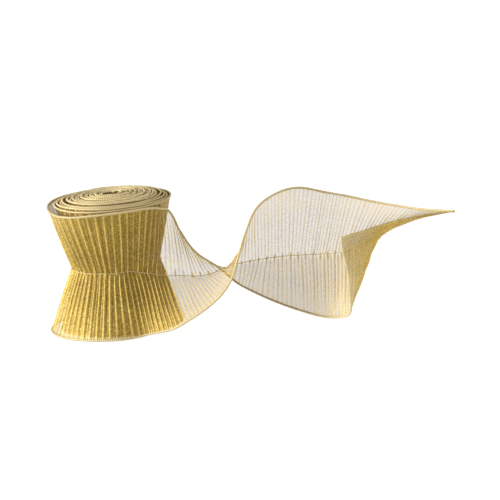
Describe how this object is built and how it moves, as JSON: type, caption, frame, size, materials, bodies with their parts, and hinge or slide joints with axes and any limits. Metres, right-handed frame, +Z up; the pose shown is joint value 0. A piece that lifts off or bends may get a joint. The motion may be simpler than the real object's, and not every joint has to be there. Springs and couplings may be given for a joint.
{
  "type": "ribbon spool",
  "caption": "Roll of wide wired mesh ribbon gathered along its middle, an hourglass on a paper core, with a loose twisted and curled tail.",
  "frame": {"origin": "centre of the paper core's bore in the base plane that the roll stands on", "axes": "+Z up the core's axis, +X along the tail away from the roll, -Y towards the side that the loose wrap peels off"},
  "size_m": [0.3028, 0.1817, 0.1015],
  "materials": {
    "pleated_mesh": "sheer metallic mesh, pleated",
    "edge_thread": "overlocked metallic thread",
    "seam_thread": "twisted polyester thread",
    "edge_wire": "annealed soft wire",
    "paper_core": "spiral-wound kraft paper",
    "adhesive_tab": "matte"
  },
  "bodies": {
    "roll": {"core_tube": "paper_core", "start_tab": "adhesive_tab", "tight_turns_upper": "pleated_mesh", "tight_turns_lower": "pleated_mesh", "loose_turns_upper": "pleated_mesh", "loose_turns_lower": "pleated_mesh", "tight_top_edges": "edge_thread", "tight_bottom_edges": "edge_thread", "loose_top_edges": "edge_thread", "loose_bottom_edges": "edge_thread", "tight_top_wires": "edge_wire", "tight_bottom_wires": "edge_wire", "loose_top_wires": "edge_wire", "loose_bottom_wires": "edge_wire", "roll_seam_thread": "seam_thread"},
    "wrap": {"wrap_upper": "pleated_mesh", "wrap_lower": "pleated_mesh", "wrap_top_edge": "edge_thread", "wrap_bottom_edge": "edge_thread", "wrap_top_wire": "edge_wire", "wrap_bottom_wire": "edge_wire", "wrap_seam_thread": "seam_thread"},
    "tail": {"tail_upper": "pleated_mesh", "tail_lower": "pleated_mesh", "tail_top_edge": "edge_thread", "tail_bottom_edge": "edge_thread", "tail_top_wire": "edge_wire", "tail_bottom_wire": "edge_wire", "tail_seam_thread": "seam_thread"},
    "belly": {"belly_upper": "pleated_mesh", "belly_lower": "pleated_mesh", "belly_top_edge": "edge_thread", "belly_bottom_edge": "edge_thread", "belly_top_wire": "edge_wire", "belly_bottom_wire": "edge_wire", "belly_seam_thread": "seam_thread"},
    "curl": {"curl_upper": "pleated_mesh", "curl_lower": "pleated_mesh", "curl_top_edge": "edge_thread", "curl_bottom_edge": "edge_thread", "curl_top_wire": "edge_wire", "curl_bottom_wire": "edge_wire", "curl_seam_thread": "seam_thread"}
  },
  "joints": [
    {"name": "wrap_slack", "type": "hinge", "parent": "roll", "child": "wrap", "pos_m": [0, 0, 0], "axis": [0, 0, 1], "range_deg": [-12, 12]},
    {"name": "tail_peel", "type": "hinge", "parent": "wrap", "child": "tail", "pos_m": [0.0171, -0.047, 0.048], "axis": [0, 0, -1], "range_deg": [0, 35]},
    {"name": "pinch_twist", "type": "hinge", "parent": "tail", "child": "belly", "pos_m": [0.0928, -0.0151, 0.042], "axis": [1, 0, 0], "range_deg": [-30, 10]},
    {"name": "curl_bend", "type": "hinge", "parent": "belly", "child": "curl", "pos_m": [0.165, -0.037, 0.054], "axis": [0.2001, 0.4501, 0.8703], "range_deg": [-12, 12]}
  ]
}
